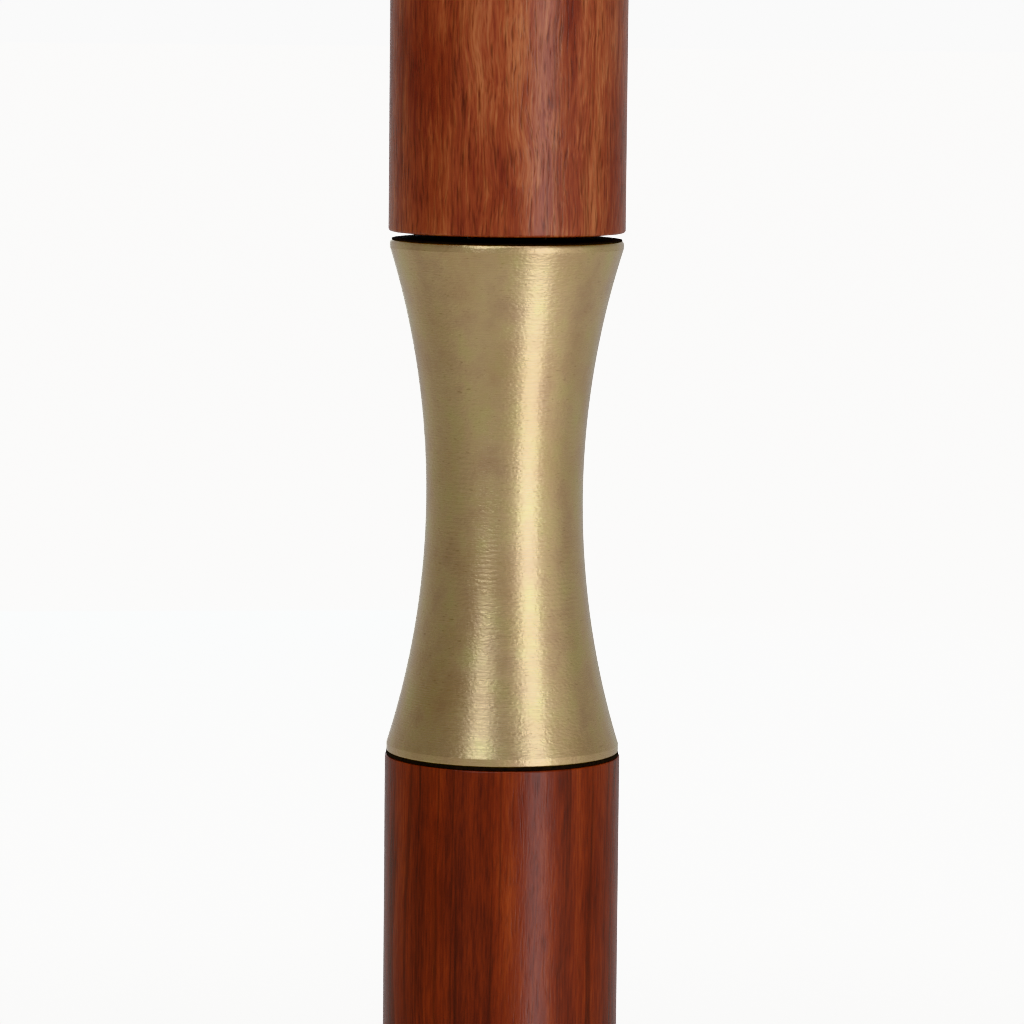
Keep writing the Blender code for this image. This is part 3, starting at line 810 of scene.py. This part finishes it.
def build_object():
    dark_wood = lacquered_hardwood(
        "Dark lacquered hardwood",
        tones=("642216", "92361b", "b24f28"),
        shares=(1.3, 0.4, 0.5, 0.7),
        figure=0.5,
        lines=0.45,
        pore_depth=0.35,
        cloud_depth=0.4,
        drift=(0.013, 0.02, 0.3),
    )
    warm_wood = lacquered_hardwood(
        "Warm lacquered hardwood",
        tones=("924034", "b86044", "da8a60"),
        shares=(0.8, 0.8, 0.9, 0.9),
        figure=1.8,
        lines=0.3,
        pore_depth=0.6,
        cloud_depth=0.75,
        drift=(0.11, 0.4, 0.1),
    )
    brass = antique_brass()
    socket_brass = turned_brass("Turned brass", "d2b071", 0.22, 0.36)
    screw_brass = turned_brass("Bright brass", "dcbb78", 0.16, 0.28)
    zinc = zinc_plate()
    fibre = black_sheet("Black vulcanised fibre", "2a221e", 0.5, 0.75)
    rubber = black_sheet("Greased nitrile rubber", "1f1f1f", 0.9, 0.4)

    lower = wooden_section("lower_section_wood", FOOT, LOWER_FACE, False, LOWER_JOINT_ROUND)
    place(lower, "lower_pole", "lower_section", dark_wood)
    upper = wooden_section("upper_section_wood", UPPER_FACE, POLE_TOP, True)
    place(upper, "upper_pole", "upper_section", warm_wood)
    place(waisted_coupling(), "waisted_coupling", "coupling", brass)
    place(lower_stud(), "lower_stud", "coupling", zinc)
    place(upper_stud(), "upper_stud", "upper_section", zinc)
    place(stud_plate(), "stud_plate", "upper_section", socket_brass)

    over = Matrix.Rotation(math.pi, 4, "X")
    foot_place = Matrix.Translation((0, 0, FOOT)) @ over
    lower_place = Matrix.Translation((0, 0, LOWER_FACE))
    plate_place = Matrix.Translation((0, 0, UPPER_FACE)) @ Matrix.Rotation(UPPER_TURN, 4, "Z") @ over
    top_place = Matrix.Translation((0, 0, POLE_TOP))

    socket = socket_at_origin()
    for label, body, matrix in (
        ("foot", "lower_section", foot_place),
        ("lower_joint", "lower_section", lower_place),
        ("top", "upper_section", top_place),
    ):
        piece = copied(socket, f"{label}_brass_socket", matrix)
        place(piece, f"{label}_socket", body, socket_brass)
    bpy.data.objects.remove(socket)

    screw = wood_screw()
    for label, body, matrix in (
        ("foot", "lower_section", foot_place),
        ("lower_joint", "lower_section", lower_place),
        ("stud_plate", "upper_section", plate_place),
        ("top", "upper_section", top_place),
    ):
        place_screws(screw, label, body, matrix, screw_brass)
    bpy.data.objects.remove(screw)

    # The lower gasket fills the whole gap at the joint with black fibre: the real gasket and painted shade in
    # the gap beside it
    low = gasket(
        "lower_fibre_gasket", LOWER_GASKET_RADIUS, COUPLING_FOOT - LOWER_GASKET_AND_SHADE_THICKNESS, COUPLING_FOOT
    )
    place(low, "lower_gasket", "coupling", fibre)
    high = gasket(
        "upper_fibre_gasket", UPPER_GASKET_RADIUS, COUPLING_TOP, COUPLING_TOP + UPPER_GASKET_THICKNESS
    )
    place(high, "upper_gasket", "coupling", fibre)
    place(o_ring("lower_rubber_o_ring", "lower_o_ring"), "lower_o_ring", "lower_seal", rubber)
    place(o_ring("upper_rubber_o_ring", "upper_o_ring"), "upper_o_ring", "upper_seal", rubber)


# ---------------------------------------------------------------- stage, light and camera


def build_floor():
    """A plain white floor. It glows, more so away from the object, so that it is white to the horizon and
    still takes a soft shadow."""
    deselect()
    bpy.ops.mesh.primitive_plane_add(size=60, location=(0, 0, FOOT))
    floor = finish_piece(bpy.context.active_object, "floor")
    material, tree, shader = new_material("White studio floor")
    spot = add(tree, "ShaderNodeTexCoord").outputs["Object"]
    distance = add(tree, "ShaderNodeVectorMath", {0: spot}, operation="LENGTH").outputs["Value"]
    near_and_far = {"Value": distance, "From Min": 0.15, "From Max": 0.6, "To Min": 0.5, "To Max": WHITE}
    glow = add(tree, "ShaderNodeMapRange", near_and_far, interpolation_type="SMOOTHSTEP").outputs[0]
    tree.links.new(glow, shader.inputs["Emission Strength"])
    shader.inputs["Base Color"].default_value = hex_colour("f0f0f0")
    shader.inputs["Roughness"].default_value = 0.9
    shader.inputs["Emission Color"].default_value = hex_colour("ffffff")
    floor.data.materials.append(material)
    floor.visible_glossy = False
    floor.visible_diffuse = False


def build_world():
    """White behind the object. As reflected, a dim warm room, lighter below and in front to the right, and
    paler behind the object."""
    world = bpy.data.worlds.new("studio")
    bpy.context.scene.world = world
    world.use_nodes = True
    tree = world.node_tree
    tree.nodes.clear()
    seen = add(tree, "ShaderNodeLightPath").outputs["Is Camera Ray"]
    direction = add(tree, "ShaderNodeTexCoord").outputs["Generated"]
    across, along, up = add(tree, "ShaderNodeSeparateXYZ", {0: direction}).outputs

    def between(value, start, end, low, high):
        span = {"Value": value, "From Min": start, "From Max": end, "To Min": low, "To Max": high}
        return add(tree, "ShaderNodeMapRange", span, interpolation_type="SMOOTHSTEP").outputs[0]

    height = between(up, -0.8, 1.0, 0.5, 0.24)
    side = between(across, -1.05, -0.6, 0.75, 1.0)
    both = {0: direction, 1: GLOW_DIRECTION}
    towards_glow = add(tree, "ShaderNodeVectorMath", both, operation="DOT_PRODUCT").outputs["Value"]
    glow = between(towards_glow, 0.6, 1.0, 0.0, 0.3)
    behind = between(along, 0.7, 1.0, 0.0, 1.0)
    room = add(tree, "ShaderNodeMath", {0: height, 1: side, 2: glow}, operation="MULTIPLY_ADD").outputs[0]
    dim = add(tree, "ShaderNodeBackground", {"Color": hex_colour("fff9f0"), "Strength": room}).outputs[0]
    pale = add(tree, "ShaderNodeBackground", {"Color": hex_colour("ffffff"), "Strength": 0.45}).outputs[0]
    white = add(tree, "ShaderNodeBackground", {"Color": hex_colour("ffffff"), "Strength": WHITE}).outputs[0]
    reflected = add(tree, "ShaderNodeMixShader", {0: behind, 1: dim, 2: pale}).outputs[0]
    mixed = add(tree, "ShaderNodeMixShader", {0: seen, 1: reflected, 2: white}).outputs[0]
    add(tree, "ShaderNodeOutputWorld", {"Surface": mixed})


def add_soft_light(name, azimuth, elevation, distance, size, power, colour):
    """A rectangular soft light aimed at the coupling. Azimuth 0 is the front, and grows to the right."""
    middle = Vector((0, 0, (COUPLING_FOOT + COUPLING_TOP) / 2))
    turn, lift = math.radians(azimuth), math.radians(elevation)
    towards = Vector((math.sin(turn) * math.cos(lift), -math.cos(turn) * math.cos(lift), math.sin(lift)))
    data = bpy.data.lights.new(name, "AREA")
    data.shape = "RECTANGLE"
    data.size, data.size_y = size
    data.energy = power
    data.color = colour
    light = bpy.data.objects.new(name, data)
    light.visible_camera = False
    bpy.context.scene.collection.objects.link(light)
    light.location = middle + towards * distance
    light.rotation_euler = towards.to_track_quat("Z", "Y").to_euler()


def build_lights():
    add_soft_light("right strip", 35, -3, 1.2, (0.44, 1.6), 2.8, COOL_WHITE)
    add_soft_light("left softbox", -24, 31, 1.2, (0.38, 1.05), 1.5, COOL_WHITE)
    add_soft_light("back strip", 186, 4, 1.2, (0.3, 1.6), 2.0, COOL_WHITE)
    add_soft_light("overhead", 0, 80, 1.6, (1.6, 1.6), 8, (1.0, 1.0, 1.0))


def build_camera():
    data = bpy.data.cameras.new("camera")
    data.lens = CAMERA_LENS
    data.sensor_width = CAMERA_SENSOR
    data.clip_start = 0.01
    data.clip_end = 200
    camera = bpy.data.objects.new("camera", data)
    bpy.context.scene.collection.objects.link(camera)
    camera.location = (CAMERA_ASIDE, -CAMERA_DISTANCE, COUPLING_FOOT + CAMERA_ABOVE_COUPLING_FOOT)
    look_down = Matrix.Rotation(math.pi / 2 - CAMERA_PITCH, 3, "X")
    camera.rotation_euler = (look_down @ Matrix.Rotation(CAMERA_ROLL, 3, "Z")).to_euler()
    bpy.context.scene.camera = camera


build_object()
build_floor()
build_world()
build_lights()
build_camera()
bpy.context.scene.view_settings.view_transform = "Khronos PBR Neutral"
